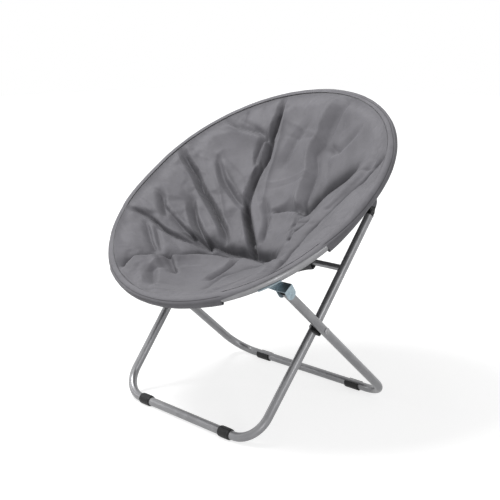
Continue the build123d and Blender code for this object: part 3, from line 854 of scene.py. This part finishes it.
def rim_cover(stations):
    """The upper cloth over the ring, with its seam pressed in where it shows, and painted shade
    along it.
    """
    forward = stations[4]
    bare = bareness(forward)
    outer, inner = (side - closer * bare for side, closer in zip(COVER_SIDES, COVER_CLOSER))
    sweep = cover_edge(forward) - COVER_FIRST
    seam = turned(stations[0], stations[1]) * (1 - bare)
    rows, dark = [], []
    for t in np.linspace(0, 1, COVER_POINTS):
        turn = COVER_FIRST + sweep * t
        line = np.exp(-(((turn - seam_turn(stations)) / SEAM_TURN) ** 2)) * seam
        hug = outer + waver(stations, turn, UNEVEN[0], COVER_SEED)
        rows.append((turn, hug - SEAM_DEPTH * line))
        dark.append(line)
    for t in np.linspace(1, 0, COVER_POINTS):
        turn = COVER_FIRST + sweep * (COVER_INSET + (1 - 2 * COVER_INSET) * t)
        rows.append((turn, inner + waver(stations, turn, UNEVEN[1], COVER_SEED)))
    made = band("rim_cover", stations, rows, True)
    inside = np.zeros((len(forward), COVER_POINTS))
    # Painted shade along the seam's groove, through the fold attribute
    set_attribute(made, "fold", np.concatenate([np.stack(dark, 1), inside], 1).ravel())
    return made


def rim_sleeve(name, run, cut):
    """A sleeve below the cover: it sags, and most of all at its cut end, where the tube is bare."""
    ahead = run[4]
    sag = SAG + SAG_AT_CUT * np.exp(-np.abs(ahead - cut) / CUT_REACH)
    start = cover_edge(ahead) + SLEEVE_GAP
    rows = []
    for hug, uneven, shares in zip(SLEEVE_SIDES, UNEVEN, ((0, 1), (1, 0))):
        for t in np.linspace(*shares, SLEEVE_POINTS):
            turn = start + (SLEEVE_LAST - start) * t
            sagged = hug + sag * np.exp(-(((turn - SAG_TURN) / SAG_SPREAD) ** 2))
            rows.append((turn, sagged + waver(run, turn, uneven, SLEEVE_SEED)))
    return band(name, run, rows, False)


def rim_cloth():
    """The upper cloth over the ring, and the sleeves below it that stop where the tube is bare."""
    stations = ring_stations(RIM_STATIONS)
    forward = stations[4]
    return (
        rim_cover(stations),
        rim_sleeve("front_rim_cloth", part_of(stations, forward > BARE_TO), BARE_TO),
        rim_sleeve("back_rim_cloth", part_of(stations, forward < BARE_FROM), BARE_FROM),
    )


def sleeve(name, spine, across, over, outline, finish, around=28):
    """A tube round a spine: its outline on two axes, at a share along and an angle."""
    across, over = np.array(across), np.array(over)
    verts = []
    for shell in (0, 1):
        for i, middle in enumerate(spine):
            for k in range(around):
                a, b = outline(i / (len(spine) - 1), 2 * math.pi * k / around)
                inwards = 1 - shell * TUBE_WALL / math.hypot(a, b)
                verts.append((np.array(middle) + a * inwards * across + b * inwards * over) * MM)
    outer, inner = np.arange(len(verts)).reshape(2, len(spine), around).tolist()
    faces = []
    for outside, (a, b, c, d) in zip(skin(outer), skin(inner)):
        faces += [outside, [b, a, d, c]]
    faces += skin([outer[0], inner[0]]) + skin([outer[-1], inner[-1]])
    made = new_piece(name, verts, faces, finish)
    face_outwards(made)
    subdivide(made)
    smooth(made, 60)
    return made


def wrinkle(place, size, *frequency):
    """Uneven cloth: smooth noise at a place, of a size."""
    return size * noise.noise(Vector([v * f for v, f in zip(place, frequency)]))


def strut_cloth(side):
    """The cloth sleeve on a back strut, from the shoe's collar up to the ring."""
    foot = Vector((side * STRUT_FOOT[0], *STRUT_FOOT[1:]))
    head = Vector(from_ring(side * STRUT_HEAD[0], STRUT_HEAD[1], 0) / MM)
    way = (head - foot).normalized()
    across = way.cross(Vector((0, 1, 0))).normalized()
    low, high = STRUT_CLOTH_FROM, (head - foot).length - STRUT_CLOTH_SHORT
    stops = np.linspace(0, 1, STRUT_CLOTH_STOPS)
    spine = [tuple(foot + way * (low + (high - low) * t)) for t in stops]

    def outline(t, angle):
        up = low + (high - low) * t
        collar = STRUT_COLLAR * (1 - float(ease(up, *STRUT_COLLAR_END)))
        lip = STRUT_LIP * float(ease(-up, -STRUT_LIP_END[1], -STRUT_LIP_END[0]))
        place = (math.cos(angle), math.sin(angle), t)
        creases = wrinkle(place, 0.9, 1.3, 1.3, 9) + wrinkle(place, 0.5, 3, 3, 26)
        least = STRUT_LEAST_R if up > COLLAR_TOP else COLLAR_LEAST_R
        radius = max(STRUT_CLOTH_R + collar + lip + creases, least)
        return radius * math.cos(angle), radius * math.sin(angle)

    name = "strut_sleeve_left" if side > 0 else "strut_sleeve_right"
    return sleeve(name, spine, across, way.cross(across), outline, CLOTH)


def bar_loop():
    """The dark cloth loop under the seat that hangs on the cross bar, deeper towards its middle."""
    spine = [(x, *BAR_AXIS) for x in np.linspace(-LOOP_HALF, LOOP_HALF, LOOP_STOPS)]

    def outline(t, angle):
        x = LOOP_HALF * (2 * t - 1)
        c, s = math.cos(angle), math.sin(angle)
        in_from_end = LOOP_HALF - abs(x)
        deep = LOOP_DEEP + LOOP_DEEPER * min(in_from_end, LOOP_EVEN)
        deep += wrinkle((x, 0, 0), 3, 0.05, 1, 1)
        fold = wrinkle((c, s, x), 2.2, 1.2, 1.6, 0.045) + wrinkle((c, s, x), 1.0, 3, 3, 0.12)
        wide = LOOP_WIDE + LOOP_FLARE * math.exp(-in_from_end / LOOP_FLARE_REACH)
        if s >= 0:
            return (wide + fold * 0.3) * c, LOOP_HIGH * s
        narrow = 1 - LOOP_NARROW * s**2
        return (wide * narrow - fold * s) * c, deep * s - fold * 0.5 * s

    return sleeve("bar_loop", spine, (0, 1, 0), (0, 0, 1), outline, BACKING, around=36)


def front_clip(side):
    """The clip round the front floor bar: full in its middle, and closed on the bar at its ends."""
    stops = np.linspace(-CLIP_HALF, CLIP_HALF, CLIP_STOPS)
    spine = [(side * CLIP_X + x, *FRONT_BAR) for x in stops]

    def outline(t, angle):
        from_middle = abs(2 * t - 1)
        from_groove = (from_middle - CLIP_GROOVE_AT) / CLIP_GROOVE_WIDE
        radius = CLIP_R + CLIP_FULL * (1 - from_middle**8)
        radius -= CLIP_GROOVE * math.exp(-(from_groove**2))
        return radius * math.cos(angle), max(radius * math.sin(angle), CLIP_FLAT)

    name = "front_clip_left" if side > 0 else "front_clip_right"
    plastic = FINISH_OF_SLOT["black_plastic"]
    return sleeve(name, spine, (0, 1, 0), (0, 0, 1), outline, plastic, around=40)


def cloth_area(piece):
    """One side of a tube of cloth, in square metres."""
    return sum(face.area for face in piece.data.polygons) / 2


def declare(piece, area, length, held, rests_on, slot, body, stands_for):
    """A tube of cloth: its mean way round, as a strip of its length, is worked out but not kept;
    the part that it stands for is hidden, and the piece goes on its body.
    """
    area / length
    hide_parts(stands_for)
    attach(piece, body)


pad, pad_pins = seat_pad()
settle(pad, pad_pins)
subdivide(pad)
crease(pad)
smooth(pad, 70)
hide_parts("seat_bowl")
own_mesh(pad)
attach(pad, "seat_frame")

for piece in rim_cloth():
    area = cloth_area(piece)
    subdivide(piece)
    smooth(piece, 50)
    length, stands_for = RIM_CLOTHS[piece.name]
    hoops = ["front_hoop", "back_hoop"]
    declare(piece, area, length, "stretched", hoops, "seat_cloth", "seat_frame", stands_for)

for side, strut in ((1, "back_strut_left"), (-1, "back_strut_right")):
    piece = strut_cloth(side)
    flat = cloth_area(piece), STRUT_CLOTH_FLAT
    declare(piece, *flat, "gathered", [strut], "seat_cloth", "seat_frame", "strut_sleeves")

for side in (1, -1):
    clip = front_clip(side)
    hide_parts("front_foot_clips")
    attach(clip, "front_legs")

loop = bar_loop()
flat = cloth_area(loop), LOOP_FLAT
declare(loop, *flat, "hung", ["cross_bar"], "dark_cloth", "front_legs", "cross_bar_loop")


# Studio -------------------------------------------------------------------------------------------


def camera():
    """The photograph's viewpoint."""
    level = math.cos(VIEW_ELEVATION)
    east, north = math.sin(VIEW_AZIMUTH) * level, -math.cos(VIEW_AZIMUTH) * level
    back = Vector((east, north, math.sin(VIEW_ELEVATION)))
    data = bpy.data.cameras.new("viewpoint")
    data.lens = FOCAL * SENSOR
    data.sensor_width = SENSOR
    data.clip_end = 50
    made = bpy.data.objects.new("viewpoint", data)
    made.location = VIEW_TARGET + back * VIEW_DISTANCE
    made.rotation_euler = (-back).to_track_quat("-Z", "Y").to_euler()
    bpy.context.scene.collection.objects.link(made)
    bpy.context.scene.camera = made


def seen_directly(tree):
    """1 for rays from the camera, and for what metal and glass show."""
    ray = Wire(tree).node("ShaderNodeLightPath", output="Is Camera Ray")
    others = ray.socket.node.outputs
    glossy, clear = (Wire(tree, others[f"Is {kind} Ray"]) for kind in ("Glossy", "Transmission"))
    return ray.at_least(glossy).at_least(clear)


def floor_finish():
    """Lights the object as matt grey paint, is seen as white, and keeps the object's shadow."""
    made = Finish("floor_paint", roughness=0.9, Base_Color=(0.5, 0.5, 0.5, 1))
    paint = Wire(made.tree, made.shader.outputs[0])
    length = {"operation": "LENGTH"}
    away = made.place.node("ShaderNodeVectorMath", length, output="Value", i0=made.place)
    glow = {"From_Min": 0.5, "From_Max": 2.2, "To_Min": FLOOR_GLOW, "To_Max": 1.0}
    glow = away.node("ShaderNodeMapRange", Value=away, **glow)
    glow = glow.node("ShaderNodeEmission", Color=glow)
    both = paint.node("ShaderNodeAddShader", i0=paint, i1=glow)
    seen = paint.node("ShaderNodeMixShader", i0=seen_directly(made.tree), i1=paint, i2=both)
    made.tree.links.new(seen.socket, made.tree.nodes["Material Output"].inputs["Surface"])
    return made.material


def floor():
    corners = [(x * FLOOR_HALF, y * FLOOR_HALF, 0) for x, y in ((-1, -1), (1, -1), (1, 1), (-1, 1))]
    new_piece("studio_floor", corners, [(0, 1, 2, 3)], floor_finish())


def white_world():
    """Lights the object faintly from all round, and is seen as white."""
    world = bpy.data.worlds.new("studio")
    bpy.context.scene.world = world
    world.use_nodes = True
    tree = world.node_tree
    back = tree.nodes["Background"]
    back.inputs["Color"].default_value = (1, 1, 1, 1)
    back.inputs["Strength"].default_value = WORLD_LIGHT
    faint = Wire(tree, back.outputs[0])
    white = faint.node("ShaderNodeBackground", Color=(1, 1, 1), Strength=1.0)
    mix = faint.node("ShaderNodeMixShader", i0=seen_directly(tree), i1=faint, i2=white)
    tree.links.new(mix.socket, tree.nodes["World Output"].inputs["Surface"])


def lamp(name, place, aim, size, power):
    data = bpy.data.lights.new(name, "AREA")
    data.shape = "DISK"
    data.size = size
    data.energy = power
    made = bpy.data.objects.new(name, data)
    made.location = place
    made.rotation_euler = (Vector(aim) - Vector(place)).to_track_quat("-Z", "Y").to_euler()
    bpy.context.scene.collection.objects.link(made)


camera()
floor()
white_world()
for settings in LAMPS:
    lamp(*settings)
bpy.context.scene.view_settings.view_transform = "Standard"
